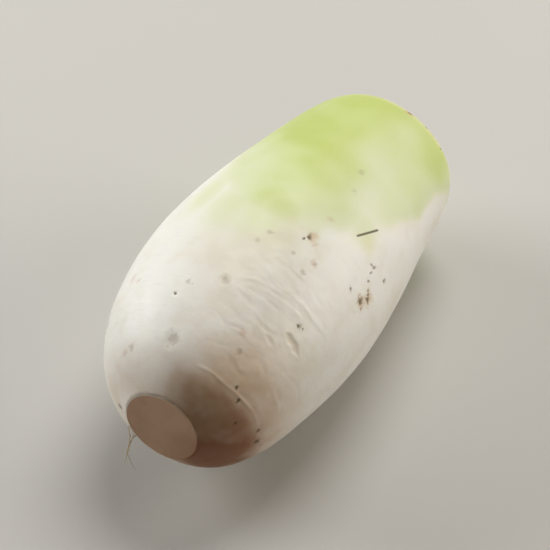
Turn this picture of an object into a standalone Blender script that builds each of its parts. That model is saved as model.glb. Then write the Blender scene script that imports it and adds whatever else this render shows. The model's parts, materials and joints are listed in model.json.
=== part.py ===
"""Daikon radish of the short, thick, green-shouldered kind, trimmed at both ends.

The taproot is one solid that grew as one piece. It lies on its belly along X, with its
tail cut towards -X and its crown cut towards +X. Two hair-fine side rootlets hang from
the rim of the tail cut. The origin is on the resting plane, under the middle of the box.
"""

import math

import bmesh
import bpy
from mathutils import Euler, Matrix, Vector

# Driving dimensions, in metres
LENGTH = 0.222
GIRTH = 0.116
TAIL_CUT_DIAMETER = 0.033
CROWN_CUT_DIAMETER = 0.067
BEND = 0.0012
SAG = 0.0015
TAIL_TURN = 0.0045
TAIL_TURN_SHARE = 0.3
ROOTLET_DIAMETER = 0.0009
TOUCH_GAP = 0.0003

# Side outline between the two cuts: share of LENGTH from the tail, share of half GIRTH
OUTLINE = (
    (0.00, TAIL_CUT_DIAMETER / GIRTH),
    (0.02, 0.44),
    (0.06, 0.625),
    (0.13, 0.785),
    (0.23, 0.895),
    (0.35, 0.98),
    (0.49, 1.00),
    (0.63, 0.945),
    (0.76, 0.86),
    (0.87, 0.785),
    (0.94, 0.73),
    (0.98, 0.675),
    (1.00, CROWN_CUT_DIAMETER / GIRTH),
)
OVERSHOOT = 0.03
OVERSHOOT_SHARE = 0.6

# Cross-section: slightly wider than high, a flatter belly, and low swells round it.
# Each swell is its number of lobes, its height, its phase and its twist along the root.
WIDER = 1.015
LOWER = 0.985
BELLY_FLATTENING = 0.05
SWELLS = ((2, 0.008, 0.6, 1.0), (3, 0.007, 2.1, -1.5), (5, 0.003, 0.4, 2.0))

# Roll and pitch, in degrees, that bring the centre of mass over the spot it lies on
REST_TURN = (10.0, 2.2, 0.0)

# Each cut plane leans by these angles, in degrees, about Y and about Z
TAIL_CUT_LEAN = (4.8, 2.4)
CROWN_CUT_LEAN = (-1.5, 2.0)

# Each rootlet: where it leaves the tail's rim, in degrees from +Y towards +Z, the length
# it hangs, and the side that it curls to
ROOTLETS = ((-43.0, 0.026, 1.0), (-58.0, 0.022, -1.0))
ROOTLET_SETBACK = 0.0030
ROOTLET_STAND_OFF = 0.0038
ROOTLET_CURL = 0.0013
ROOTLET_POINTS = 12

CAGE_SIDES = 12
CAGE_LEVELS = 2


def clear_scene():
    for old in list(bpy.data.objects):
        bpy.data.objects.remove(old, do_unlink=True)


def new_collection(name):
    collection = bpy.data.collections.new(name)
    bpy.context.scene.collection.children.link(collection)
    return collection


def principled(name, colour, roughness):
    material = bpy.data.materials.new(name)
    material.use_nodes = True
    shader = material.node_tree.nodes["Principled BSDF"]
    shader.inputs["Base Color"].default_value = (*colour, 1.0)
    shader.inputs["Roughness"].default_value = roughness
    shader.inputs["Metallic"].default_value = 0.0
    material.diffuse_color = (*colour, 1.0)
    return material


def lying(point):
    """The point, or direction, once the root has rolled and tipped to where it lies still."""
    return Euler([math.radians(angle) for angle in REST_TURN]).to_matrix() @ point


def centre_line(share):
    """Middle of the root at a share of its length: slightly bowed, its tail turned aside."""
    from_middle = share - 0.5
    bow = BEND * (1.0 - 6.0 * from_middle**2)
    turned = TAIL_TURN * max(0.0, 1.0 - share / TAIL_TURN_SHARE) ** 2
    return Vector((from_middle * LENGTH, bow - turned, SAG * 4.0 * from_middle**2))


def section_point(share, radius, angle):
    """Point on the skin at an angle from +Y towards +Z."""
    swell = sum(
        height * math.sin(lobes * angle + phase + twist * share * math.tau)
        for lobes, height, phase, twist in SWELLS
    )
    reach = radius * (1.0 + swell)
    across = reach * WIDER * math.cos(angle)
    rise = reach * LOWER * math.sin(angle)
    below = max(0.0, -math.sin(angle))
    rise *= 1.0 - BELLY_FLATTENING * below**2
    return lying(centre_line(share) + Vector((0.0, across, rise)))


def cage_stations():
    """Outline in metres, carried past both cuts so that the cuts leave flat faces."""
    first, last = OUTLINE[0], OUTLINE[-1]
    shares = (
        (first[0] - OVERSHOOT, first[1] * OVERSHOOT_SHARE),
        *OUTLINE,
        (last[0] + OVERSHOOT, last[1] * OVERSHOOT_SHARE),
    )
    # A subdivided ring settles inside its cage by this known factor
    settling = (2.0 + math.cos(math.tau / CAGE_SIDES)) / 3.0
    return [(share, size * GIRTH / 2.0 / settling) for share, size in shares]


def taproot_cage():
    """Coarse closed cage: one ring of points per station, bridged, with flat ends."""
    cage = bmesh.new()
    rings = []
    for share, radius in cage_stations():
        ring = [
            cage.verts.new(section_point(share, radius, math.tau * i / CAGE_SIDES))
            for i in range(CAGE_SIDES)
        ]
        rings.append(ring)
        for i in range(CAGE_SIDES):
            cage.edges.new((ring[i - 1], ring[i]))
    for near, far in zip(rings, rings[1:]):
        edges = [e for e in cage.edges if all(v in near or v in far for v in e.verts)]
        bmesh.ops.bridge_loops(cage, edges=edges)
    bmesh.ops.holes_fill(cage, edges=cage.edges, sides=CAGE_SIDES)
    bmesh.ops.recalc_face_normals(cage, faces=cage.faces)
    mesh = bpy.data.meshes.new("taproot")
    cage.to_mesh(mesh)
    cage.free()
    return mesh


def cut_plane(share, lean):
    """Place and outward direction of the cut nearest to a share of the length."""
    outward = Vector((-1.0 if share < 0.5 else 1.0, 0.0, 0.0))
    outward.rotate(Euler((0.0, math.radians(lean[0]), math.radians(lean[1]))))
    return lying(centre_line(share)), lying(outward)


def cutter(name, share, lean, collection):
    """Block whose inner face is the cut plane."""
    place, outward = cut_plane(share, lean)
    block = bmesh.new()
    size = GIRTH * 1.5
    bmesh.ops.create_cube(block, size=size)
    turn = outward.to_track_quat("X", "Z").to_matrix().to_4x4()
    shift = Matrix.Translation(place + outward * size / 2.0)
    bmesh.ops.transform(block, matrix=shift @ turn, verts=block.verts)
    mesh = bpy.data.meshes.new(name)
    block.to_mesh(mesh)
    block.free()
    knife = bpy.data.objects.new(name, mesh)
    knife.display_type = "WIRE"
    knife.hide_render = True
    collection.objects.link(knife)
    return knife


def make_taproot(parts, cutters, material):
    taproot = bpy.data.objects.new("taproot", taproot_cage())
    parts.objects.link(taproot)
    taproot.data.materials.append(material)
    rounding = taproot.modifiers.new("rounding", "SUBSURF")
    rounding.levels = CAGE_LEVELS
    rounding.render_levels = CAGE_LEVELS
    for name, share, lean in (
        ("tail_knife", 0.0, TAIL_CUT_LEAN),
        ("crown_knife", 1.0, CROWN_CUT_LEAN),
    ):
        cut = taproot.modifiers.new(name, "BOOLEAN")
        cut.operation = "DIFFERENCE"
        cut.solver = "EXACT"
        cut.object = cutter(name, share, lean, cutters)
    taproot.data.shade_smooth()
    taproot.data.set_sharp_from_angle(angle=math.radians(20.0))
    return taproot


def skin_towards(taproot, inside, target):
    """Place and normal of the skin, met from a point inside on the way to a target."""
    graph = bpy.context.evaluated_depsgraph_get()
    solid = taproot.evaluated_get(graph)
    found, place, normal, _ = solid.ray_cast(inside, (target - inside).normalized())
    assert found
    return place, normal


def make_rootlet(number, angle, drop, side, taproot, parts, material):
    """Hair-fine rootlet: leaves the skin along its normal, then hangs in a loose curl."""
    angle = math.radians(angle)
    share = ROOTLET_SETBACK / LENGTH
    rim = section_point(share, TAIL_CUT_DIAMETER / 2.0, angle)
    place, normal = skin_towards(taproot, lying(centre_line(share)), rim)
    start = place + normal * (TOUCH_GAP + ROOTLET_DIAMETER / 2.0)
    curve = bpy.data.curves.new(f"side_rootlet_{number}", "CURVE")
    curve.dimensions = "3D"
    curve.bevel_depth = ROOTLET_DIAMETER / 2.0
    curve.bevel_resolution = 2
    curve.use_fill_caps = True
    strand = curve.splines.new("POLY")
    strand.points.add(ROOTLET_POINTS - 1)
    for i, point in enumerate(strand.points):
        along = i / (ROOTLET_POINTS - 1)
        out = normal * ROOTLET_STAND_OFF * (1.0 - (1.0 - along) ** 3)
        fall = Vector((0.0, 0.0, -drop * along**1.4))
        curl = Vector((0.4, 1.0, 0.0)) * side * ROOTLET_CURL * math.sin(along * math.tau)
        point.co = (*(start + out + fall + curl), 1.0)
        point.radius = 1.0 - 0.45 * along
    rootlet = bpy.data.objects.new(f"side_rootlet_{number}", curve)
    rootlet.data.materials.append(material)
    parts.objects.link(rootlet)
    return rootlet


def world_box(pieces):
    """Lowest and highest corner of the finished pieces."""
    graph = bpy.context.evaluated_depsgraph_get()
    points = []
    for piece in pieces:
        finished = piece.evaluated_get(graph)
        mesh = finished.to_mesh()
        points += [piece.matrix_world @ vertex.co for vertex in mesh.vertices]
        finished.to_mesh_clear()
    low = Vector([min(point[axis] for point in points) for axis in range(3)])
    high = Vector([max(point[axis] for point in points) for axis in range(3)])
    return low, high


def set_down(pieces, knives):
    """Move everything so that the origin is under the middle of the box, on its base."""
    low, high = world_box(pieces)
    base = Vector(((low.x + high.x) / 2.0, (low.y + high.y) / 2.0, low.z))
    for item in (*pieces, *knives):
        item.location -= base


def main():
    clear_scene()
    parts = new_collection("daikon_radish")
    cutters = new_collection("cutters")
    skin = principled("radish_skin", (0.76, 0.74, 0.60), 0.42)
    fibre = principled("rootlet_fibre", (0.72, 0.66, 0.52), 0.60)
    taproot = make_taproot(parts, cutters, skin)
    bpy.context.view_layer.update()
    rootlets = [
        make_rootlet(number, *place, taproot, parts, fibre)
        for number, place in enumerate(ROOTLETS, start=1)
    ]
    bpy.context.view_layer.update()
    set_down([taproot, *rootlets], cutters.objects)


main()
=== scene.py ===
"""Looks of a short, thick daikon radish with a green shoulder, trimmed at both ends.

The root lies on its belly along X, its tail cut towards -X and its crown cut towards +X.
A place on its skin is given as a share of its length from the tail cut, and an angle in
degrees round it, from +Y towards +Z, so that 90 is its top. The root is modelled round
its own axis and set down in its place at the end.
"""

import json
import math

import bpy
import numpy as np
from mathutils import Euler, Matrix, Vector, noise

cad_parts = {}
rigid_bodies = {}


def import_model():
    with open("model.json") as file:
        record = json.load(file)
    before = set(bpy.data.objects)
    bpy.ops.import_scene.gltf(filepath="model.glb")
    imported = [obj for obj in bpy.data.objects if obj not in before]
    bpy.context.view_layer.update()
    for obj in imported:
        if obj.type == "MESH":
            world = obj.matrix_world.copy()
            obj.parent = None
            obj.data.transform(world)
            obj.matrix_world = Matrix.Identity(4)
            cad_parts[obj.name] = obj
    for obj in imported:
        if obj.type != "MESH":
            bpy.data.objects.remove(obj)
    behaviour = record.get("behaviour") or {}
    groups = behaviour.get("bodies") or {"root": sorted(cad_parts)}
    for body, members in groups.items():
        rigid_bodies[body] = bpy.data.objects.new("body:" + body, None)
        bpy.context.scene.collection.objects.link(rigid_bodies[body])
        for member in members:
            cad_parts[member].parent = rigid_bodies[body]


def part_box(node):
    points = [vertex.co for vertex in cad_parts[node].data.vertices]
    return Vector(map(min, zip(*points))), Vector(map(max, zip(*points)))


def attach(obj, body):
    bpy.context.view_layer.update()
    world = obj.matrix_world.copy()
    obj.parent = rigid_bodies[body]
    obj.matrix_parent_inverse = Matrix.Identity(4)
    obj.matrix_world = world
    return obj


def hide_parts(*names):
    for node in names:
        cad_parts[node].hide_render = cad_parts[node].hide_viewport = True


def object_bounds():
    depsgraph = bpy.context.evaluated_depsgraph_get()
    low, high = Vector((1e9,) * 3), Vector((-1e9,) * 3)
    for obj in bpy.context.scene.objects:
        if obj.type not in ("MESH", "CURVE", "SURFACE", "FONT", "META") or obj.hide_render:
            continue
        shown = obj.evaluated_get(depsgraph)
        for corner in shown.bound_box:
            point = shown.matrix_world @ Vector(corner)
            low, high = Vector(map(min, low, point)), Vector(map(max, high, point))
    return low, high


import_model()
CAD_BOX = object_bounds()

MM = 0.001

# Size and form of the root, as the solid has them: its slight bow, the tail that turns
# aside over the first shares of the length, and its outline, as share and width there
LENGTH = 222 * MM
GIRTH = 116 * MM
TAIL_CUT = 33 * MM
CROWN_CUT = 67 * MM
BEND = 1.2 * MM
SAG = 1.5 * MM
TAIL_TURN = 4.5 * MM
TAIL_TURN_SHARE = 0.3
OUTLINE = (
    (0.00, TAIL_CUT / GIRTH),
    (0.02, 0.44),
    (0.06, 0.625),
    (0.13, 0.785),
    (0.23, 0.895),
    (0.35, 0.98),
    (0.49, 1.00),
    (0.63, 0.945),
    (0.76, 0.86),
    (0.87, 0.785),
    (0.94, 0.73),
    (0.98, 0.675),
    (1.00, CROWN_CUT / GIRTH),
)

# Before it is trimmed, the root runs this far past each cut, and narrows to this much
OVERSHOOT = 0.03
OVERSHOOT_WIDTH = 0.6

# Its cross-section: wider than high, flatter below, with swells given as their number
# round it, height, start and twist
WIDER = 1.015
LOWER = 0.985
BELLY_FLATTENING = 0.05
SWELLS = ((2, 0.008, 0.6, 1.0), (3, 0.007, 2.1, -1.5), (5, 0.003, 0.4, 2.0))

# How it lies on its belly, and its tail and crown cuts: share, and lean in degrees
LYING = Euler([math.radians(angle) for angle in (10.0, 2.2, 0.0)]).to_matrix()
CUTS = ((0.0, (4.8, 2.4)), (1.0, (-1.5, 2.0)))

# Its material slots
SKIN = 0
FLESH = 1

# Fineness of the mesh: sides and rounding of its cage, rings over each cut, the bevel
# round a cut, and how near each other points merge or count as lying on the cut
CAGE_SIDES = 16
ROUNDING_LEVELS = 4
CUT_RINGS = 14
RIM_BEVEL = 0.40 * MM
RIM_STEP = 0.15 * MM
FLAT_ENOUGH = 0.001 * MM

# Spot beside the root from which its points, edges and faces are numbered
NUMBERED_FROM = (-0.31, -0.17, 0.23)

# Broad unevenness of the skin: height, width and start of its noise. It fades out over
# this share of the length beside the cuts, whose flesh has sunk by this much.
RELIEF = ((0.50 * MM, 42 * MM, 0.0), (0.20 * MM, 16 * MM, 0.3))
LEVEL_BESIDE_CUTS = 0.02
CUT_SHRINKAGE = 0.25 * MM

# Pits: share, angle, radius and depth
PITS = (
    (0.168, 68, 1.2 * MM, 0.50 * MM),
    (0.086, 77, 3.0 * MM, 0.42 * MM),
    (0.238, 88, 2.4 * MM, 0.34 * MM),
    (0.135, 117, 1.5 * MM, 0.34 * MM),
    (0.267, 131, 1.4 * MM, 0.24 * MM),
    (0.200, 71, 1.3 * MM, 0.16 * MM),
    (0.356, 115, 1.5 * MM, 0.22 * MM),
    (0.384, 92, 1.2 * MM, 0.16 * MM),
)

# Small brown specks: share, angle and radius
BROWN_SPECKS = (
    (0.421, 105.6, 0.65 * MM),
    (0.432, 107.0, 1.00 * MM),
    (0.521, 139.2, 0.60 * MM),
    (0.525, 141.3, 0.45 * MM),
    (0.506, 141.5, 0.50 * MM),
    (0.489, 143.5, 0.75 * MM),
    (0.540, 151.8, 0.75 * MM),
    (0.430, 138.1, 0.65 * MM),
    (0.439, 147.1, 1.55 * MM),
    (0.471, 148.4, 0.80 * MM),
    (0.465, 149.9, 1.20 * MM),
    (0.461, 151.8, 0.50 * MM),
    (0.091, 130.7, 0.70 * MM),
    (0.081, 138.6, 0.80 * MM),
    (0.060, 152.5, 0.60 * MM),
    (0.097, 168.1, 0.90 * MM),
    (0.095, 177.5, 1.20 * MM),
    (0.168, 67.8, 0.60 * MM),
    (0.267, 131.2, 0.50 * MM),
    (0.271, 133.8, 0.40 * MM),
    (0.012, -12.0, 0.80 * MM),
    (0.976, 101.0, 0.90 * MM),
    (0.981, 118.0, 0.60 * MM),
    (0.972, 137.0, 0.70 * MM),
)

# Rusty stains, greyish bruises and faint pink flecks, given in the same way
RUSTY_STAINS = (
    (0.437, 108.2, 2.6 * MM),
    (0.440, 147.6, 2.6 * MM),
    (0.467, 150.2, 2.6 * MM),
    (0.975, 101.0, 2.2 * MM),
)
GREY_SPOTS = (
    (0.088, 78.5, 2.0 * MM),
    (0.238, 88.2, 1.5 * MM),
    (0.135, 117.2, 1.2 * MM),
    (0.268, 131.8, 1.2 * MM),
    (0.384, 91.6, 1.1 * MM),
    (0.352, 89.7, 0.9 * MM),
    (0.377, 106.0, 0.9 * MM),
    (0.356, 115.6, 1.3 * MM),
    (0.392, 117.2, 1.0 * MM),
    (0.681, 105.3, 1.4 * MM),
    (0.617, 108.3, 1.0 * MM),
    (0.060, 44.8, 1.2 * MM),
    (0.200, 71.3, 0.9 * MM),
)
PINK_FLECKS = (
    (0.209, 31.3, 1.3 * MM),
    (0.194, 37.9, 1.1 * MM),
    (0.052, 37.4, 1.1 * MM),
    (0.169, 112.2, 1.4 * MM),
    (0.393, 116.0, 1.6 * MM),
    (0.506, 109.0, 1.4 * MM),
)

# Creases across the root: share and angle of both ends, width and depth. A negative
# depth is a raised welt.
CREASES = (
    (0.318, 90, 0.298, 112, 1.3 * MM, -0.22 * MM),
    (0.298, 109, 0.315, 148, 1.4 * MM, -0.28 * MM),
    (0.261, 93, 0.293, 114, 1.3 * MM, -0.22 * MM),
    (0.278, 104, 0.290, 131, 1.3 * MM, 0.20 * MM),
    (0.229, 96, 0.216, 111, 1.4 * MM, 0.24 * MM),
    (0.246, 99, 0.262, 126, 1.2 * MM, 0.20 * MM),
    (0.205, 108, 0.214, 127, 1.2 * MM, 0.18 * MM),
    (0.168, 99, 0.174, 113, 1.3 * MM, 0.22 * MM),
    (0.150, 103, 0.150, 121, 1.3 * MM, 0.26 * MM),
    (0.137, 101, 0.136, 122, 1.6 * MM, -0.30 * MM),
    (0.165, 127, 0.166, 139, 1.1 * MM, 0.30 * MM),
    (0.144, 141, 0.147, 166, 1.4 * MM, -0.24 * MM),
    (0.190, 141, 0.206, 167, 1.3 * MM, 0.18 * MM),
    (0.332, 99, 0.346, 139, 1.3 * MM, 0.16 * MM),
    (0.112, 96, 0.108, 124, 1.4 * MM, 0.16 * MM),
)

# The collar where the tail begins: a thin welt, with duller, darker skin on its tail side
# that is partly the skin's own colour and partly painted shade
COLLAR = (
    (0.071, 100, 0.080, 127, 0.9 * MM, -0.16 * MM),
    (0.080, 125, 0.094, 152, 0.9 * MM, -0.18 * MM),
    (0.094, 150, 0.096, 179, 0.9 * MM, -0.12 * MM),
)
COLLAR_MIDDLE = 138.0
DULLER_REACH_ROUND = 51.0
DULLER_PAST_COLLAR = 0.008
DULLER_FADE = 0.035

# One thin scratch, given as the creases are, and the yellowed skin beside it: share,
# angle and radius
SCRATCH = (0.532, 123.9, 0.594, 130.4, 0.48 * MM, 0.05 * MM)
SCRATCH_HALO = (0.545, 131.0, 7.7 * MM)

# Healed splits lying across the root: share, angle, half length, half width and depth
SCARS = (
    (0.234, 135.5, 6.2 * MM, 1.9 * MM, 0.46 * MM),
    (0.198, 125.5, 3.4 * MM, 1.4 * MM, 0.22 * MM),
)

# How much of those depths is left where the skin has healed over, and a speck's depth
CREASES_LEFT = 0.55
PITS_LEFT = 0.6
SCARS_LEFT = 0.7
SPECK_DEPTH = 0.10 * MM

# Marks on the flanks and belly that grow the same but were not laid out one by one
OTHER_SIDES_SEED = 11
OTHER_PITS = 14
OTHER_SPECKS = 26
OTHER_GREY_SPOTS = 16
OTHER_CREASES = 14

# Wrinkled patches: share, angle, reach along in shares, reach round in degrees, depth
WRINKLED = (
    (0.27, 114, 0.15, 32, 0.12 * MM),
    (0.12, 140, 0.05, 46, 0.09 * MM),
    (0.30, -75, 0.12, 55, 0.13 * MM),
    (0.24, -150, 0.10, 40, 0.12 * MM),
    (0.30, 20, 0.10, 28, 0.07 * MM),
)

# The green shoulder starts at this share of the length with a pale wash, and deepens
# further on. Tongues and bays move its edge: angle, reach round in degrees, how far.
GREEN_EDGE = 0.475
PALE_WASH_LENGTH = 0.14
PALE_WASH_GREEN = 0.55
DEEPENING_LENGTH = 0.30
GREEN_TONGUES = (
    (80, 30, -0.15),
    (106, 13, -0.045),
    (166, 26, 0.36),
    (-60, 45, -0.03),
    (-150, 32, 0.26),
    (5, 40, 0.09),
)
# Washes ahead of the edge, and paler patches behind it, partly paler skin and partly a
# painted soft highlight on the top of the green: share, angle, reaches, amount
GREEN_WASHES = (
    (0.42, 68, 0.10, 17, 0.52),
    (0.46, 88, 0.06, 15, 0.90),
    (0.48, 80, 0.09, 20, 0.80),
    (0.42, 84, 0.10, 24, 0.56),
    (0.46, 47, 0.10, 12, 0.46),
    (0.57, 50, 0.09, 14, 0.60),
    (0.57, 123, 0.06, 11, 0.62),
    (0.35, 82, 0.09, 11, 0.32),
    (0.31, 90, 0.07, 12, 0.24),
    (0.36, 103, 0.05, 7, 0.16),
)
PALER_AND_HIGHLIGHT_PATCHES = (
    (0.72, 117, 0.17, 17, 0.42),
    (0.76, 99, 0.11, 12, 0.24),
    (0.89, 112, 0.08, 16, 0.20),
    (0.56, 62, 0.10, 12, 0.18),
)

# Sallow patches of skin: share, angle, reaches and amount
DULL_PATCHES = (
    (0.27, 114, 0.15, 32, 0.28),
    (0.12, 140, 0.05, 46, 0.28),
    (0.28, 87, 0.08, 15, 0.46),
    (0.41, 95, 0.06, 13, 0.26),
)

# The tail is browner from this angle on, over this many degrees, towards its underside:
# how far up the root, in shares, and how brown, at the top and underneath. This brown is
# partly earth staining and partly painted shade and painted warm reflected light. The
# darkest brown patch, also partly staining and partly painted shade, is given by its share,
# angle and reaches. The skin is creamier beside the crown.
BROWN_FROM = 70.0
BROWN_OVER = 65.0
BROWN_REACH = (0.10, 0.30)
BROWN_AMOUNT = (0.28, 0.75)
DARKEST_BROWN_AND_PAINTED_SHADE = (0.03, -166.0, 0.072, 40.0)
CROWN_CREAM_FROM = 0.955

# Tints laid over the skin one after another: name, colour, and how much at their fullest
TINTS = (
    ("dull", "#d9cebb", 1.0),
    # Painted shade in the skin's hollows: pits, creases, scars and specks
    ("painted_hollow_shade", "#bfae92", 0.30),
    # Painted highlight on the skin's raised welts, crests and lips
    ("raised", "#f7f3e8", 0.40),
    # The tail's tan: partly earth staining, partly painted shade and painted warm reflected light
    ("tail_tan_and_painted_shade", "#c59a6c", 1.0),
    # Darker skin past the collar: partly duller skin, partly painted shade
    ("tail_dull_and_painted_shade", "#a48060", 0.72),
    # The darkest brown, low on the tail: partly earth staining, partly painted shade and painted
    # warm reflected light
    ("stain_and_painted_shade", "#82460f", 0.90),
    ("crown_cream", "#e8dab0", 0.42),
    ("scar", "#d9ccb4", 0.35),
    ("halo", "#dfdda2", 0.45),
    ("pink", "#c8a18c", 0.40),
    ("grey", "#a0907a", 0.42),
    ("rusty", "#cda56e", 0.52),
    ("speck", "#5a4929", 0.85),
    ("scratch", "#4d4112", 0.94),
)

# Fibres in the crown cut: how many lie round it, and how long they run before they change
CUT_FIBRES = 26.0
FIBRE_LENGTH = 20 * MM

# Rootlets: angle where each leaves the tail's rim, the length it hangs, its radius at
# the skin, and how far it sways to the right as seen from past the tail
ROOTLET_SETBACK = 3.0 * MM
ROOTLET_INSIDE = 0.3 * MM
ROOTLET_STAND_OFF = 3.8 * MM
ROOTLET_KINKS = 0.35 * MM
ROOTLET_THINNING = 0.65
ROOTLET_SWAY = Vector((0.515, -0.857, 0.0))
ROOTLET_SIDES = 8
ROOTLET_STEPS = 34
ROOTLET_SEED = 5
ROOTLETS = {
    "side_rootlet_1": ((-43.0, 26.0 * MM, 0.34 * MM, 2.2 * MM),),
    "side_rootlet_2": (
        (-58.0, 23.0 * MM, 0.32 * MM, -2.4 * MM),
        (-54.0, 9.0 * MM, 0.20 * MM, 0.8 * MM),
    ),
}

# Studio: floor radius, the place, width, power and tint of each light, the faint light
# all round, and where the camera stands from the middle of the root
FLOOR_RADIUS = 3.0
LIGHTS = {
    "left": ((-0.24, 1.15, 0.60), 0.8, 10.8, (0.985, 1.0, 1.0)),
    "right": ((0.72, -1.00, 0.55), 0.8, 7.6, (1.0, 0.965, 0.89)),
    "behind": ((0.65, 0.05, 1.25), 0.9, 12.6, (1.0, 1.0, 0.985)),
}
AROUND_COLOUR = "#f1dfc6"
AROUND_STRENGTH = 0.09
CAMERA_AZIMUTH = -59.0
CAMERA_ELEVATION = 46.0
CAMERA_DISTANCE = 0.80
CAMERA_LENS = 108.0


def linear(code):
    """Linear colour of an sRGB hex value."""
    channels = [int(code[i : i + 2], 16) / 255.0 for i in (1, 3, 5)]
    straight = [c / 12.92 if c <= 0.04045 else ((c + 0.055) / 1.055) ** 2.4 for c in channels]
    return (*straight, 1.0)


def deselect_all():
    bpy.ops.object.select_all(action="DESELECT")


def make_active(piece):
    deselect_all()
    piece.select_set(True)
    bpy.context.view_layer.objects.active = piece


def start_editing(piece, kind):
    make_active(piece)
    bpy.context.tool_settings.mesh_select_mode = [kind == k for k in ("VERT", "EDGE", "FACE")]
    bpy.ops.object.mode_set(mode="EDIT")


def stop_editing():
    bpy.ops.object.mode_set(mode="OBJECT")


def select_faces(piece, chosen):
    """In object mode, select only the faces flagged in a boolean array."""
    mesh = piece.data
    mesh.vertices.foreach_set("select", np.zeros(len(mesh.vertices), bool))
    mesh.edges.foreach_set("select", np.zeros(len(mesh.edges), bool))
    mesh.polygons.foreach_set("select", chosen)


def put_in_order(piece):
    """Number the points, edges and faces by their distance from one spot, because extruding
    and bevelling leave them in another order on each run."""
    bpy.context.scene.cursor.location = NUMBERED_FROM
    start_editing(piece, "VERT")
    bpy.ops.mesh.select_all(action="SELECT")
    bpy.ops.mesh.sort_elements(type="CURSOR_DISTANCE", elements={"VERT", "EDGE", "FACE"})
    stop_editing()


def select_rims(piece):
    """In object mode, select the edges between the skin and the cuts."""
    mesh = piece.data
    kinds = {}
    for polygon in mesh.polygons:
        for key in polygon.edge_keys:
            kinds.setdefault(key, set()).add(polygon.material_index)
    select_faces(piece, np.zeros(len(mesh.polygons), bool))
    for edge in mesh.edges:
        edge.select = len(kinds[edge.key]) == 2


# ---------------------------------------------------------------- form of the root


def lying(point):
    """The point, or direction, once the root has rolled and tipped to where it lies still."""
    return LYING @ point


def axis_offset(share):
    """How far the middle of the root lies sideways and above its straight axis."""
    from_middle = share - 0.5
    turned = TAIL_TURN * np.maximum(0.0, 1.0 - share / TAIL_TURN_SHARE) ** 2
    return BEND * (1.0 - 6.0 * from_middle**2) - turned, SAG * 4.0 * from_middle**2


def centre_line(share):
    return Vector(((share - 0.5) * LENGTH, *axis_offset(share)))


def section_point(share, radius, angle):
    """Point on the skin, with its swells and flatter belly, before the root lies down."""
    swell = sum(
        height * math.sin(lobes * angle + phase + twist * share * math.tau)
        for lobes, height, phase, twist in SWELLS
    )
    reach = radius * (1.0 + swell)
    rise = reach * LOWER * math.sin(angle)
    rise *= 1.0 - BELLY_FLATTENING * max(0.0, -math.sin(angle)) ** 2
    return centre_line(share) + Vector((0.0, reach * WIDER * math.cos(angle), rise))


def cage_stations():
    """Rings of the cage, carried past both cuts, as share and radius."""
    first, last = OUTLINE[0], OUTLINE[-1]
    shares = (
        (first[0] - OVERSHOOT, first[1] * OVERSHOOT_WIDTH),
        *OUTLINE,
        (last[0] + OVERSHOOT, last[1] * OVERSHOOT_WIDTH),
    )
    # A subdivided ring settles inside its cage by this known factor
    settling = (2.0 + math.cos(math.tau / CAGE_SIDES)) / 3.0
    return [(share, size * GIRTH / 2.0 / settling) for share, size in shares]


def draw_out(name, sides, stations, turn=(0.0, math.pi / 2.0, 0.0)):
    """A filled ring, extruded and resized ring by ring through places and radii."""
    (place, radius), *rest = stations
    deselect_all()
    bpy.ops.mesh.primitive_circle_add(
        vertices=sides, radius=radius, fill_type="NGON", location=place, rotation=turn
    )
    piece = bpy.context.object
    piece.name = name
    bpy.ops.object.transform_apply(location=True, rotation=True, scale=True)
    start_editing(piece, "FACE")
    bpy.ops.mesh.select_all(action="SELECT")
    for next_place, next_radius in rest:
        bpy.ops.mesh.extrude_region_move(TRANSFORM_OT_translate={"value": next_place - place})
        bpy.ops.transform.resize(value=(next_radius / radius,) * 3, center_override=next_place)
        place, radius = next_place, next_radius
    bpy.ops.mesh.select_all(action="SELECT")
    bpy.ops.mesh.normals_make_consistent(inside=False)
    stop_editing()
    put_in_order(piece)
    return piece


def swell_cage(cage):
    """Move the turned cage to the root's own cross-section, and lay it down."""
    for vertex in cage.data.vertices:
        share = vertex.co.x / LENGTH + 0.5
        sideways, above = axis_offset(share)
        across, up = vertex.co.y - sideways, vertex.co.z - above
        vertex.co = lying(section_point(share, math.hypot(across, up), math.atan2(up, across)))


def round_off(piece, levels):
    make_active(piece)
    rounding = piece.modifiers.new("rounding", "SUBSURF")
    rounding.levels = levels
    rounding.render_levels = levels
    bpy.ops.object.modifier_apply(modifier=rounding.name)


def cut_plane(share, lean):
    """Place and outward direction of a trim cut."""
    outward = Vector((-1.0 if share < 0.5 else 1.0, 0.0, 0.0))
    outward.rotate(Euler((0.0, math.radians(lean[0]), math.radians(lean[1]))))
    return lying(centre_line(share)), lying(outward)


def trim(piece, share, lean):
    """Slice the end off, ring the cut towards its middle, and give it its own material."""
    place, outward = cut_plane(share, lean)
    start_editing(piece, "FACE")
    bpy.ops.mesh.select_all(action="SELECT")
    bpy.ops.mesh.bisect(
        plane_co=place, plane_no=outward, use_fill=True, clear_outer=True, threshold=FLAT_ENOUGH
    )
    bpy.ops.mesh.remove_doubles(threshold=RIM_STEP)
    for ring in range(CUT_RINGS):
        shrink = (CUT_RINGS - ring - 0.5) / (CUT_RINGS - ring + 0.5)
        bpy.ops.mesh.extrude_region_move()
        bpy.ops.transform.resize(value=(shrink,) * 3, center_override=place)
    bpy.ops.mesh.poke()
    for _ in range(CUT_RINGS):
        bpy.ops.mesh.select_more()
    piece.active_material_index = FLESH
    bpy.ops.object.material_slot_assign()
    stop_editing()
    put_in_order(piece)


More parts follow.
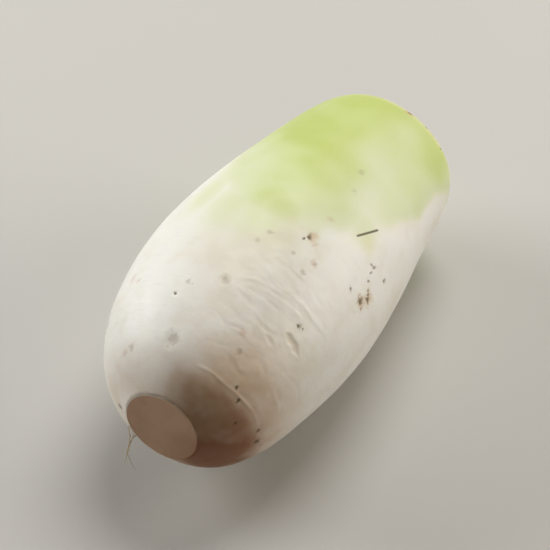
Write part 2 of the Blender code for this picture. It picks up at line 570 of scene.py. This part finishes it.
def clear_beside_cut(piece, share, lean):
    """Dissolve the skin's points that lie closer to a cut than its bevel reaches."""
    place, outward = cut_plane(share, lean)
    inside = (points_of(piece) - np.array(place)) @ -np.array(outward)
    select_faces(piece, np.zeros(len(piece.data.polygons), bool))
    piece.data.vertices.foreach_set("select", (inside > FLAT_ENOUGH) & (inside < 1.5 * RIM_BEVEL))
    start_editing(piece, "VERT")
    bpy.ops.mesh.dissolve_verts()
    stop_editing()


def finish_rims(piece):
    """A narrow bevel where the knife left the skin, with a crisp line inside it."""
    for share, lean in CUTS:
        clear_beside_cut(piece, share, lean)
    put_in_order(piece)
    select_rims(piece)
    start_editing(piece, "EDGE")
    bpy.ops.mesh.bevel(offset=RIM_BEVEL, segments=2, profile=0.5)
    stop_editing()
    put_in_order(piece)
    select_rims(piece)
    start_editing(piece, "EDGE")
    bpy.ops.mesh.mark_sharp()
    stop_editing()


# ---------------------------------------------------------------- places on the skin


def points_of(piece):
    points = np.empty(len(piece.data.vertices) * 3)
    piece.data.vertices.foreach_get("co", points)
    return points.reshape(-1, 3)


def skin_places(points):
    """Share along, angle round in degrees, and distance from the axis, of each point."""
    upright = points @ np.array(LYING)
    share = upright[:, 0] / LENGTH + 0.5
    sideways, above = axis_offset(share)
    across, up = upright[:, 1] - sideways, upright[:, 2] - above
    return share, np.degrees(np.arctan2(up, across)), np.hypot(across, up)


def gap_round(angle, centre):
    """Signed turn from a centre angle, in degrees."""
    return (angle - centre + 180.0) % 360.0 - 180.0


def distance_to(places, share, angle):
    """Distance over the skin to one place."""
    along = (places[0] - share) * LENGTH
    around = np.radians(gap_round(places[1], angle)) * places[2]
    return np.hypot(along, around)


def distance_to_line(places, line):
    """Distance over the skin to a line between two places, and how far along it, 0 to 1."""
    share, angle, end_share, end_angle = line
    run = np.array([(end_share - share) * LENGTH, math.radians(end_angle - angle) * GIRTH / 2.0])
    along = (places[0] - share) * LENGTH
    around = np.radians(gap_round(places[1], angle)) * GIRTH / 2.0
    travel = np.clip((along * run[0] + around * run[1]) / (run @ run), 0.0, 1.0)
    return np.hypot(along - travel * run[0], around - travel * run[1]), travel


def patch(places, share, angle, reach, reach_round):
    """1 in the middle of a patch, fading to 0 round it."""
    along = (places[0] - share) / reach
    around = gap_round(places[1], angle) / reach_round
    return np.exp(-(along**2) - around**2)


def smooth(value):
    value = np.clip(value, 0.0, 1.0)
    return value * value * (3.0 - 2.0 * value)


def grain(points, size):
    """Smooth noise of the given grain size, one length or one per axis. A length added to
    the points reads another part of the noise."""
    return np.array([noise.noise(point) for point in (points / np.array(size)).tolist()])


def other_marks():
    """Marks for the flanks and belly, between angles that leave out the side whose marks
    are laid out. The order of the draws decides where they fall."""
    rng = np.random.default_rng(OTHER_SIDES_SEED)

    def place(low, high):
        return rng.uniform(low, high), rng.uniform(-176.0, 26.0)

    def size(low, high):
        return rng.uniform(low, high) * MM

    creases = []
    for _ in range(OTHER_CREASES):
        share, angle = place(0.08, 0.48)
        end = share + rng.uniform(-0.03, 0.04), angle + rng.uniform(16.0, 44.0)
        creases.append((share, angle, *end, size(1.2, 1.6), size(-0.22, 0.26)))
    return {
        "pits": [(*place(0.06, 0.55), size(1.0, 2.6), size(0.2, 0.5)) for _ in range(OTHER_PITS)],
        "specks": [(*place(0.04, 0.70), size(0.4, 0.9)) for _ in range(OTHER_SPECKS)],
        "grey": [(*place(0.05, 0.80), size(0.9, 2.0)) for _ in range(OTHER_GREY_SPOTS)],
        "creases": creases,
    }


# ---------------------------------------------------------------- sculpting the skin


def refine(piece, wanted, cuts):
    """Finer faces where wanted(places) says, so that small marks have a shape."""
    mesh = piece.data
    centres = np.empty(len(mesh.polygons) * 3)
    mesh.polygons.foreach_get("center", centres)
    kinds = np.empty(len(mesh.polygons), int)
    mesh.polygons.foreach_get("material_index", kinds)
    near = wanted(skin_places(centres.reshape(-1, 3)))
    select_faces(piece, near & (kinds == SKIN))
    start_editing(piece, "FACE")
    bpy.ops.mesh.subdivide(number_cuts=cuts, smoothness=1.0, ngon=False)
    stop_editing()


def near_folds(places):
    """Where the laid-out wrinkles, collar and pits are."""
    near = patch(places, *WRINKLED[0][:4]) > 0.35
    for *line, width, _ in (*CREASES, *COLLAR):
        near |= distance_to_line(places, line)[0] < width * 1.6
    for share, angle, radius, _ in PITS:
        near |= distance_to(places, share, angle) < radius * 1.8
    for share, angle, half_length, _, _ in SCARS:
        near |= distance_to(places, share, angle) < half_length * 1.2
    return near


def near_specks(places, specks):
    """Where the specks and the scratch are."""
    near = distance_to_line(places, SCRATCH[:4])[0] < SCRATCH[4] * 3.0
    for share, angle, radius in specks:
        near |= distance_to(places, share, angle) < radius * 1.3 + 0.5 * MM
    return near


def pit_heights(places, pits):
    height = np.zeros(len(places[0]))
    for share, angle, radius, depth in pits:
        far = distance_to(places, share, angle) / radius
        height -= depth * np.exp(-(far**2) * 1.6)
        height += 0.22 * depth * np.exp(-(((far - 1.45) / 0.4) ** 2))
    return height


def crease_heights(places, creases, waver, broken):
    """Each crease wanders a little, comes and goes, and has a low lip on one side."""
    height = np.zeros(len(places[0]))
    for *line, width, depth in creases:
        shifted = (places[0] + waver, places[1], places[2])
        far, travel = distance_to_line(shifted, line)
        fade = broken * np.clip(4.0 * travel * (1.0 - travel), 0.0, 1.0) ** 0.5
        height -= depth * fade * np.exp(-((far / width * 1.5) ** 2))
        height += 0.35 * depth * fade * np.exp(-(((far - 1.3 * width) / width) ** 2))
    return height


def scar_reach(places, points, scar):
    """Distance from the middle of a scar, 1 along its uneven lens-shaped edge."""
    share, angle, half_length, half_width, _ = scar
    uneven = 1.0 + 0.5 * grain(points, 3 * MM)
    along = (places[0] - share) * LENGTH / half_width
    around = np.radians(gap_round(places[1], angle)) * places[2] / half_length
    return np.hypot(along + 0.35 * around, around) * uneven


def scar_heights(places, points):
    """Each healed split is a shallow lens with a raised edge."""
    height = np.zeros(len(places[0]))
    for scar in SCARS:
        far = scar_reach(places, points, scar)
        height += scar[-1] * (0.5 * np.exp(-(((far - 1.15) / 0.22) ** 2)) - np.exp(-(far**4)))
    return height


def wrinkle_heights(places, points):
    """Fine broken folds across the root, in a few patches of its white half."""
    drift = np.stack([grain(points + 0.2, 9 * MM), *np.zeros((2, len(points)))], axis=1)
    warped = points + 4.0 * MM * drift
    narrow = grain(warped, (3.8 * MM, 6.5 * MM, 6.5 * MM))
    wide = grain(warped + 0.05, (8.0 * MM, 16 * MM, 16 * MM))
    broken = smooth(grain(points + 0.6, 10 * MM) * 1.8 + 0.50)
    folds = 0.5 * broken * smooth(1.0 - np.abs(narrow) / 0.30)
    folds += 0.6 * smooth(1.0 - np.abs(wide) / 0.26)
    strength = sum(depth * patch(places, *where) for *where, depth in WRINKLED)
    return strength * (0.7 * narrow + 0.5 * wide - folds)


def skin_normals(piece):
    """Normal of the skin at each vertex, leaving the cut faces out, and where the skin is."""
    mesh = piece.data
    total = np.zeros((len(mesh.vertices), 3))
    for polygon in mesh.polygons:
        if polygon.material_index == SKIN:
            total[list(polygon.vertices)] += np.array(polygon.normal) * polygon.area
    length = np.linalg.norm(total, axis=1)
    is_skin = length > 0.0
    return total / np.where(is_skin, length, 1.0)[:, None], is_skin


def sculpt_skin(piece, marks):
    """Raise and lower the skin along its own normals. Returns each point's height above
    the plain skin that its marks give it."""
    points = points_of(piece)
    places = skin_places(points)
    normals, is_skin = skin_normals(piece)
    waver = 0.010 * grain(points, 13 * MM) + 0.004 * grain(points + 0.5, 5 * MM)
    broken = smooth(0.62 + 1.3 * grain(points + 0.9, 9 * MM))
    relief = sum(height * grain(points + start, size) for height, size, start in RELIEF)
    marked = wrinkle_heights(places, points)
    marked += CREASES_LEFT * crease_heights(places, marks["creases"], waver, broken)
    marked += crease_heights(places, COLLAR, 0.4 * waver, 0.6 + 0.4 * broken)
    marked += PITS_LEFT * pit_heights(places, marks["pits"])
    marked += SCARS_LEFT * scar_heights(places, points)
    *line, width, depth = SCRATCH
    marked -= depth * np.exp(-((distance_to_line(places, line)[0] / width) ** 2))
    for share, angle, radius in marks["specks"]:
        marked -= SPECK_DEPTH * np.exp(-((distance_to(places, share, angle) / radius) ** 2))
    # The skin stays level beside the cuts, so that their rims keep their line
    from_rims = smooth(np.minimum(places[0], 1.0 - places[0]) / LEVEL_BESIDE_CUTS)
    moved = points + normals * ((relief * from_rims + marked) * is_skin)[:, None]
    piece.data.vertices.foreach_set("co", moved.ravel())
    piece.data.update()
    return marked


def reach_over_cuts(piece):
    """0 in the middle of each cut and 1 at its rim, and which points lie on which cut."""
    share, _, inward = skin_places(points_of(piece))
    _, is_skin = skin_normals(piece)
    on_tail, on_crown = ~is_skin & (share < 0.5), ~is_skin & (share > 0.5)
    rims = np.where(share < 0.5, inward[on_tail].max(), inward[on_crown].max())
    return np.clip(inward / rims, 0.0, 1.1), on_tail, on_crown


def dish_cuts(piece):
    """Sink the cut flesh inside its rims, as it has dried a little."""
    points = points_of(piece)
    reach, *on_cuts = reach_over_cuts(piece)
    depth = CUT_SHRINKAGE * (np.clip(1.0 - reach**2, 0.0, 1.0) + 0.32 * grain(points, 9 * MM))
    for here, (share, lean) in zip(on_cuts, CUTS):
        _, outward = cut_plane(share, lean)
        points[here] -= np.array(outward) * depth[here][:, None]
    piece.data.vertices.foreach_set("co", points.ravel())
    piece.data.update()


# ---------------------------------------------------------------- marks that colour it


def green_amount(places, points):
    """0 where the skin is white and 1 where it is greenest."""
    start = GREEN_EDGE + 0.06 * grain(points, 30 * MM) + 0.04 * grain(points, 12 * MM)
    for angle, reach, shift in GREEN_TONGUES:
        start = start + shift * np.exp(-((gap_round(places[1], angle) / reach) ** 2))
    past = places[0] - start
    wash = smooth(past / PALE_WASH_LENGTH)
    deeper = smooth((past - 0.5 * PALE_WASH_LENGTH) / DEEPENING_LENGTH)
    green = PALE_WASH_GREEN * wash + (1.0 - PALE_WASH_GREEN) * deeper
    for *where, amount in GREEN_WASHES:
        green = np.maximum(green, amount * patch(places, *where))
    # Paler patches: partly paler skin, partly a painted soft highlight
    for *where, amount in PALER_AND_HIGHLIGHT_PATCHES:
        green *= 1.0 - amount * patch(places, *where)
    return green * (1.0 + 0.20 * grain(points + 0.4, 18 * MM))


def spots(places, points, marks):
    """1 inside each spot, with a frayed edge."""
    fray = 1.0 + 0.7 * grain(points + 0.1, 1.0 * MM) + 0.4 * grain(points + 0.7, 2.2 * MM)
    amount = np.zeros(len(points))
    for share, angle, radius in marks:
        far = distance_to(places, share, angle) / radius * fray
        amount = np.maximum(amount, smooth((1.6 - far) / 1.1))
    return amount


def tail_side(places):
    """Where the skin is darker on the tail side of the collar: partly duller skin, partly painted
    shade.
    """
    angles = [line[1] for line in COLLAR] + [COLLAR[-1][3]]
    shares = [line[0] for line in COLLAR] + [COLLAR[-1][2]]
    turn = gap_round(places[1], COLLAR_MIDDLE)
    edge = np.interp(turn + COLLAR_MIDDLE, angles, shares) + DULLER_PAST_COLLAR
    near_middle = np.exp(-((turn / DULLER_REACH_ROUND) ** 4))
    return smooth((edge - places[0]) / DULLER_FADE) * near_middle


def tints(piece, marks, marked):
    """How much of each tint every vertex has, by name, before its fullest amount."""
    points = points_of(piece)
    places = skin_places(points)
    blotches = grain(points + 0.8, 9 * MM)
    cloudy = 1.0 + 0.8 * blotches
    mottled = 0.98 + 0.30 * blotches + 0.15 * grain(points + 0.35, 3.5 * MM)
    underneath = smooth(gap_round(places[1], BROWN_FROM) / BROWN_OVER)
    brown_reach = np.interp(underneath, (0.0, 1.0), BROWN_REACH)
    brown_amount = np.interp(underneath, (0.0, 1.0), BROWN_AMOUNT)
    scars = sum(np.exp(-(scar_reach(places, points, scar) ** 4)) for scar in SCARS)
    *line, width, _ = SCRATCH
    *halo, halo_radius = SCRATCH_HALO
    return {
        "dull": sum(amount * patch(places, *where) for *where, amount in DULL_PATCHES) * cloudy,
        # Painted shade where the skin lies sunk below its plain form
        "painted_hollow_shade": np.clip(-marked / (0.45 * MM), 0.0, 1.0),
        # Painted highlight where the skin is raised above its plain form
        "raised": np.clip(marked / (0.20 * MM), 0.0, 1.0),
        # The tail's tan: partly earth staining, partly painted shade and painted warm reflected
        # light
        "tail_tan_and_painted_shade": smooth(1.0 - places[0] / brown_reach) * brown_amount * mottled,
        # Darker skin past the collar: partly duller skin, partly painted shade
        "tail_dull_and_painted_shade": tail_side(places) * mottled,
        # The darkest brown, low on the tail: partly earth staining, partly painted shade and painted
        # warm reflected light
        "stain_and_painted_shade": np.clip(1.4 * patch(places, *DARKEST_BROWN_AND_PAINTED_SHADE) * mottled, 0.0, 1.0),
        "crown_cream": smooth((places[0] - CROWN_CREAM_FROM) / 0.03) * cloudy,
        "scar": np.clip(scars, 0.0, 1.0),
        "halo": smooth(1.0 - distance_to(places, *halo) / halo_radius),
        "pink": spots(places, points, PINK_FLECKS),
        "grey": spots(places, points, marks["grey"]),
        "rusty": spots(places, points, RUSTY_STAINS),
        "speck": spots(places, points, marks["specks"]),
        "scratch": smooth(1.6 - distance_to_line(places, line)[0] / width),
    }


def store(piece, name, values, kind="FLOAT", field="value"):
    """Keep a value on every vertex, under a name that the materials read."""
    layer = piece.data.attributes.new(name, kind, "POINT")
    layer.data.foreach_set(field, np.asarray(values, np.float32).ravel())


def colour_marks(piece, marks, marked):
    points = points_of(piece)
    places = skin_places(points)
    store(piece, "green", np.clip(green_amount(places, points), 0.0, 1.0))
    amounts = tints(piece, marks, marked)
    for name, _, fullest in TINTS:
        store(piece, name, np.clip(amounts[name] * fullest, 0.0, 1.0))
    share, angle, inward = places
    store(piece, "cut_reach", reach_over_cuts(piece)[0])
    store(piece, "tail_cut", (share < 0.5) * 1.0)
    turn = np.radians(angle)
    around = CUT_FIBRES * np.cos(turn), CUT_FIBRES * np.sin(turn)
    rays = np.stack([*around, inward / FIBRE_LENGTH], axis=1)
    store(piece, "cut_rays", rays, "FLOAT_VECTOR", "vector")


# ---------------------------------------------------------------- materials


def new_material(name):
    material = bpy.data.materials.new(name)
    material.use_nodes = True
    return material, material.node_tree, material.node_tree.nodes["Principled BSDF"]


def connect(tree, node, inputs):
    """Give each input a value, a socket to link from, or a node whose output it takes."""
    for socket, value in inputs.items():
        if isinstance(value, bpy.types.Node):
            value = next(output for output in value.outputs if output.enabled)
        if isinstance(value, bpy.types.NodeSocket):
            tree.links.new(value, node.inputs[socket])
        else:
            node.inputs[socket].default_value = value


def add(tree, kind, inputs, **settings):
    """A node with its settings and links."""
    node = tree.nodes.new(kind)
    for name, value in settings.items():
        setattr(node, name, value)
    connect(tree, node, inputs)
    return node


def daikon_skin():
    """Washed daikon skin, as it grew: thin, smooth and a little waxy. It is satin, light
    goes a few millimetres into it, and it turns from cream to yellow green at the crown."""
    material, tree, shader = new_material("daikon_skin")
    place = add(tree, "ShaderNodeTexCoord", {}).outputs["Object"]
    colour = linear("#f1efe8")
    # Grain size along and across, range of the noise, amount, tint: cloudy beige patches
    # in two sizes, pale lengthwise streaks, and fine lines across the root. Real lines are
    # about 0.3 mm apart, too fine to show, so they are drawn 1 mm apart.
    for along, across, low, high, amount, code in (
        (22 * MM, 16 * MM, 0.48, 0.70, 0.34, "#e0d4bf"),
        (9 * MM, 9 * MM, 0.52, 0.75, 0.16, "#d6ccb8"),
        (45 * MM, 4 * MM, 0.45, 0.75, 0.10, "#fbf9f0"),
        (1 * MM, 12 * MM, 0.56, 0.74, 0.14, "#cdbfa4"),
    ):
        scale = (1.0 / along, 1.0 / across, 1.0 / across)
        mapped = add(tree, "ShaderNodeMapping", {"Vector": place, "Scale": scale})
        cloud = add(tree, "ShaderNodeTexNoise", {"Vector": mapped, "Scale": 1.0, "Detail": 3.0})
        span = {"Value": cloud, "From Min": low, "From Max": high, "To Max": amount}
        mask = add(tree, "ShaderNodeMapRange", span, interpolation_type="SMOOTHSTEP")
        colour = add(tree, "ShaderNodeMix", {0: mask, 6: colour, 7: linear(code)}, data_type="RGBA")
    green = add(tree, "ShaderNodeAttribute", {}, attribute_name="green")
    ramp = add(tree, "ShaderNodeValToRGB", {"Fac": green})
    stops = ramp.color_ramp.elements
    stops[0].position, stops[0].color = 0.15, linear("#edecda")
    stops[1].position, stops[1].color = 1.0, linear("#bccb66")
    for position, code in ((0.35, "#e4e6c8"), (0.55, "#d9e0b2"), (0.78, "#ccd78e")):
        stops.new(position).color = linear(code)
    mask = add(tree, "ShaderNodeMapRange", {"Value": green, "From Max": 0.35, "To Max": 0.9})
    colour = add(tree, "ShaderNodeMix", {0: mask, 6: colour, 7: ramp}, data_type="RGBA")
    # Some tints are painted light: painted shade in hollows, a painted highlight on welts, and
    # painted shade and warm reflected light in the tail's browns
    for name, code, _ in TINTS:
        mask = add(tree, "ShaderNodeAttribute", {}, attribute_name=name)
        colour = add(tree, "ShaderNodeMix", {0: mask, 6: colour, 7: linear(code)}, data_type="RGBA")
    waxy = {"Vector": place, "Scale": 1.0 / (7 * MM), "Detail": 3.0}
    span = {"Value": add(tree, "ShaderNodeTexNoise", waxy)}
    span |= {"From Min": 0.3, "From Max": 0.7, "To Min": 0.38, "To Max": 0.52}
    # Folds across the root, under pores. Real ones are about 0.4 mm apart, too fine to
    # show, so the folds are drawn 1.3 mm apart and the pores 1.6 mm apart.
    across = add(tree, "ShaderNodeMapping", {"Vector": place, "Scale": (770.0, 80.0, 80.0)})
    lines = add(tree, "ShaderNodeTexNoise", {"Vector": across, "Scale": 1.0, "Detail": 4.0})
    folds = add(tree, "ShaderNodeBump", {"Height": lines, "Strength": 0.3, "Distance": 0.08 * MM})
    dots = {"Vector": place, "Scale": 1.0 / (1.6 * MM), "Detail": 2.0}
    pores = {"Height": add(tree, "ShaderNodeTexNoise", dots), "Normal": folds}
    pores |= {"Strength": 0.35, "Distance": 0.10 * MM}
    connect(tree, shader, {
        "Base Color": colour,
        "Roughness": add(tree, "ShaderNodeMapRange", span),
        "Normal": add(tree, "ShaderNodeBump", pores),
        "IOR": 1.42,
        "Subsurface Weight": 0.20,
        "Subsurface Radius": (1.0, 0.85, 0.5),
        "Subsurface Scale": 4 * MM,
    })
    return material


def daikon_flesh():
    """Daikon flesh cut with a knife and left to dry: smooth, dull and a little see-through.
    The tail cut has gone pinkish tan, and is browner towards the underside of its rim, partly
    with earth staining from the skin and partly as painted shade. The crown cut is paler, with
    a ring of vessels inside its rim and fibres running out to it like rays."""
    material, tree, shader = new_material("daikon_flesh")
    place = add(tree, "ShaderNodeTexCoord", {}).outputs["Object"]
    reach = add(tree, "ShaderNodeAttribute", {}, attribute_name="cut_reach")
    ramp = add(tree, "ShaderNodeValToRGB", {"Fac": reach})
    stops = ramp.color_ramp.elements
    stops[0].position, stops[0].color = 0.0, linear("#e2dccd")
    stops[1].position, stops[1].color = 1.0, linear("#e6dfc4")
    for position, code in (
        (0.50, "#ded7c6"),
        (0.82, "#d6cfba"),
        (0.865, "#c4bda2"),
        (0.91, "#dad3bd"),
    ):
        stops.new(position).color = linear(code)
    path = add(tree, "ShaderNodeAttribute", {}, attribute_name="cut_rays").outputs["Vector"]
    rays = add(tree, "ShaderNodeTexNoise", {"Vector": path, "Scale": 1.0, "Detail": 3.0})
    span = {"Value": rays, "From Min": 0.45, "From Max": 0.75, "To Max": 0.35}
    mask = add(tree, "ShaderNodeMapRange", span, interpolation_type="SMOOTHSTEP")
    crown = add(tree, "ShaderNodeMix", {0: mask, 6: ramp, 7: linear("#b8ad96")}, data_type="RGBA")
    mask = add(tree, "ShaderNodeAttribute", {}, attribute_name="tail_cut")
    colour = add(tree, "ShaderNodeMix", {0: mask, 6: crown, 7: linear("#c5a084")}, data_type="RGBA")
    # Browner towards the underside of the tail cut's rim: partly earth staining, partly painted
    # shade
    stain_and_painted_shade = add(tree, "ShaderNodeAttribute", {}, attribute_name="stain_and_painted_shade")
    rim_brown_and_painted_shade = add(tree, "ShaderNodeMath", {0: stain_and_painted_shade, 1: reach}, operation="MULTIPLY")
    mask = add(tree, "ShaderNodeMapRange", {"Value": rim_brown_and_painted_shade, "To Max": 0.55})
    colour = add(tree, "ShaderNodeMix", {0: mask, 6: colour, 7: linear("#8a5c34")}, data_type="RGBA")
    # Clouds about 9 mm across, and a paler, drier rim
    clouds = {"Vector": place, "Scale": 1.0 / (9 * MM), "Detail": 3.0}
    cloud = add(tree, "ShaderNodeTexNoise", clouds)
    for pattern, low, high, amount, code in (
        (cloud, 0.42, 0.72, 0.34, "#ab8b70"),
        (reach, 0.975, 1.03, 0.35, "#d2bfa4"),
    ):
        span = {"Value": pattern, "From Min": low, "From Max": high, "To Max": amount}
        mask = add(tree, "ShaderNodeMapRange", span, interpolation_type="SMOOTHSTEP")
        colour = add(tree, "ShaderNodeMix", {0: mask, 6: colour, 7: linear(code)}, data_type="RGBA")
    dryness = {"Value": cloud, "From Min": 0.3, "From Max": 0.7, "To Min": 0.40, "To Max": 0.55}
    # Marks that the knife dragged. Real ones are about 0.3 mm apart, too fine to show, so
    # they are drawn 1.2 mm apart.
    dragged = add(tree, "ShaderNodeMapping", {"Vector": place, "Scale": (110.0, 830.0, 70.0)})
    drag = add(tree, "ShaderNodeTexNoise", {"Vector": dragged, "Scale": 1.0, "Detail": 3.0})
    knife = {"Height": drag, "Strength": 0.4, "Distance": 0.10 * MM}
    connect(tree, shader, {
        "Base Color": colour,
        "Roughness": add(tree, "ShaderNodeMapRange", dryness),
        "Normal": add(tree, "ShaderNodeBump", knife),
        "IOR": 1.38,
        "Subsurface Weight": 0.25,
        "Subsurface Radius": (1.0, 0.85, 0.6),
        "Subsurface Scale": 5 * MM,
    })
    return material


def rootlet_fibre():
    """Side root dried to a hair: tough, matte and pale tan, browner in places."""
    material, tree, shader = new_material("rootlet_fibre")
    place = add(tree, "ShaderNodeTexCoord", {}).outputs["Object"]
    # Browner lengths of about 2.5 mm, and a grain 0.5 mm across
    lengths = {"Vector": place, "Scale": 1.0 / (2.5 * MM), "Detail": 2.0}
    span = {"Value": add(tree, "ShaderNodeTexNoise", lengths), "From Min": 0.35, "From Max": 0.7}
    mask = add(tree, "ShaderNodeMapRange", span, interpolation_type="SMOOTHSTEP")
    shades = {0: mask, 6: linear("#dccdaa"), 7: linear("#b79f78")}
    fine = {"Vector": place, "Scale": 1.0 / (0.5 * MM), "Detail": 2.0}
    rough = {"Height": add(tree, "ShaderNodeTexNoise", fine), "Strength": 0.5, "Distance": 0.1 * MM}
    connect(tree, shader, {
        "Base Color": add(tree, "ShaderNodeMix", shades, data_type="RGBA"),
        "Roughness": 0.7,
        "Normal": add(tree, "ShaderNodeBump", rough),
        "Subsurface Weight": 0.2,
        "Subsurface Scale": 0.5 * MM,
    })
    return material


def studio_paper():
    """Seamless paper, matte as it comes off the mill: pale grey, with a faint cloudiness
    half a metre across."""
    material, tree, shader = new_material("studio_paper")
    place = add(tree, "ShaderNodeTexCoord", {}).outputs["Object"]
    cloud = add(tree, "ShaderNodeTexNoise", {"Vector": place, "Scale": 2.0, "Detail": 2.0})
    shades = {0: cloud, 6: linear("#c3c0bb"), 7: linear("#c9c6c1")}
    colour = add(tree, "ShaderNodeMix", shades, data_type="RGBA")
    connect(tree, shader, {"Base Color": colour, "Roughness": 0.85})
    return material


# ---------------------------------------------------------------- pieces


def shape_taproot():
    """The root's plain form, with both ends trimmed and its two materials in place."""
    stations = [(centre_line(share), radius) for share, radius in cage_stations()]
    root = draw_out("daikon_taproot", CAGE_SIDES, stations)
    swell_cage(root)
    round_off(root, ROUNDING_LEVELS)
    root.data.materials.append(daikon_skin())
    root.data.materials.append(daikon_flesh())
    for share, lean in CUTS:
        trim(root, share, lean)
    finish_rims(root)
    return root


def set_down(root, plain):
    """Move the root so that its plain form, whose points are given, fills its own box.
    Returns how far it moved."""
    low, high = (np.array(corner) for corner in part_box("taproot"))
    shift = (low + high - plain.min(axis=0) - plain.max(axis=0)) / 2.0
    placed = points_of(root) + shift
    placed[:, 2] = np.maximum(placed[:, 2], 0.0)
    root.data.vertices.foreach_set("co", placed.ravel())
    root.data.update()
    return Vector(shift)


def make_taproot():
    """Returns the root, and how far it was moved from its own axis to its place."""
    others = other_marks()
    marks = {
        "pits": [*PITS, *others["pits"]],
        "specks": [*BROWN_SPECKS, *others["specks"]],
        "grey": [*GREY_SPOTS, *others["grey"]],
        "creases": [*CREASES, *others["creases"]],
    }
    root = shape_taproot()
    plain = points_of(root)
    refine(root, near_folds, 1)
    refine(root, lambda places: near_specks(places, marks["specks"]), 2)
    marked = sculpt_skin(root, marks)
    colour_marks(root, marks, marked)
    dish_cuts(root)
    shift = set_down(root, plain)
    make_active(root)
    bpy.ops.object.shade_smooth_by_angle(angle=math.radians(50.0))
    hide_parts("taproot")
    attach(root, "root")
    return root, shift


def skin_at(root, shift, share, angle):
    """Place and normal of the placed skin, met from the root's axis."""
    turn = math.radians(angle)
    outward = lying(Vector((0.0, math.cos(turn), math.sin(turn))))
    found, place, normal, _ = root.ray_cast(lying(centre_line(share)) + shift, outward)
    assert found
    return place, normal


def hair_path(start, normal, drop, sway):
    """Leaves the skin along its normal, then falls with a slow sway and small kinks."""
    for step in range(ROOTLET_STEPS + 1):
        along = step / ROOTLET_STEPS
        out = normal * ROOTLET_STAND_OFF * (1.0 - (1.0 - along) ** 3)
        fall = Vector((0.0, 0.0, -drop * along**1.3))
        aside = ROOTLET_SWAY * sway * math.sin(along * 3.6)
        kink = noise.noise_vector(start / MM + Vector((0.0, 0.0, along * 6.0))) * ROOTLET_KINKS
        yield start + out + fall + aside + kink * min(1.0, along * 4.0)


def make_rootlet(node, hairs, root, shift, fibre):
    """A rootlet, with any finer hair beside it, each thinning to its tip."""
    noise.seed_set(ROOTLET_SEED)
    pieces = []
    for number, (angle, drop, radius, sway) in enumerate(hairs, start=1):
        place, normal = skin_at(root, shift, ROOTLET_SETBACK / LENGTH, angle)
        path = hair_path(place - normal * ROOTLET_INSIDE, normal, drop, sway)
        thinning = np.linspace(1.0, 1.0 - ROOTLET_THINNING, ROOTLET_STEPS + 1)
        stations = list(zip(path, radius * thinning))
        facing = (normal + Vector((0.0, 0.0, -1.0))).to_track_quat("Z", "Y").to_euler()
        pieces.append(draw_out(f"{node}_hair_{number}", ROOTLET_SIDES, stations, facing))
    make_active(pieces[0])
    for piece in pieces:
        piece.select_set(True)
    bpy.ops.object.join()
    pieces[0].name = f"{node}_hairs"
    pieces[0].data.materials.append(fibre)
    bpy.ops.object.shade_smooth_by_angle(angle=math.radians(60.0))
    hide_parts(node)
    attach(pieces[0], "root")


def make_floor():
    deselect_all()
    bpy.ops.mesh.primitive_circle_add(
        vertices=96, radius=FLOOR_RADIUS, fill_type="NGON", location=(0.0, 0.0, 0.0)
    )
    floor = bpy.context.object
    floor.name = "studio_floor"
    floor.data.materials.append(studio_paper())


def soft_light(name, place, target, width, power, tint):
    lamp = bpy.data.lights.new(name, "AREA")
    lamp.shape = "DISK"
    lamp.size = width
    lamp.energy = power
    lamp.color = tint
    light = bpy.data.objects.new(name, lamp)
    light.location = place
    light.rotation_euler = (Vector(target) - Vector(place)).to_track_quat("-Z", "Y").to_euler()
    bpy.context.scene.collection.objects.link(light)


def light_studio(middle):
    """A soft light on each side, a third high behind the crown, and very little else."""
    for name, (place, width, power, tint) in LIGHTS.items():
        soft_light(name, place, middle, width, power, tint)
    world = bpy.data.worlds.new("studio")
    world.use_nodes = True
    bpy.context.scene.world = world
    sky = world.node_tree.nodes["Background"]
    sky.inputs["Color"].default_value = linear(AROUND_COLOUR)
    sky.inputs["Strength"].default_value = AROUND_STRENGTH


def place_camera(middle):
    """Looks down on the root from past its tail."""
    azimuth, elevation = math.radians(CAMERA_AZIMUTH), math.radians(CAMERA_ELEVATION)
    back = Vector((
        math.sin(azimuth) * math.cos(elevation),
        -math.cos(azimuth) * math.cos(elevation),
        math.sin(elevation),
    ))
    lens = bpy.data.cameras.new("camera")
    lens.sensor_width = 36.0
    lens.lens = CAMERA_LENS
    lens.clip_start = 0.05
    lens.clip_end = 50.0
    camera = bpy.data.objects.new("camera", lens)
    camera.location = Vector(middle) + back * CAMERA_DISTANCE
    camera.rotation_euler = (-back).to_track_quat("-Z", "Y").to_euler()
    bpy.context.scene.collection.objects.link(camera)
    bpy.context.scene.camera = camera


def main():
    low, high = CAD_BOX
    middle = (low + high) / 2.0
    root, shift = make_taproot()
    fibre = rootlet_fibre()
    for node, hairs in ROOTLETS.items():
        make_rootlet(node, hairs, root, shift, fibre)
    make_floor()
    light_studio(middle)
    place_camera(middle)
    bpy.context.scene.view_settings.view_transform = "Standard"


main()
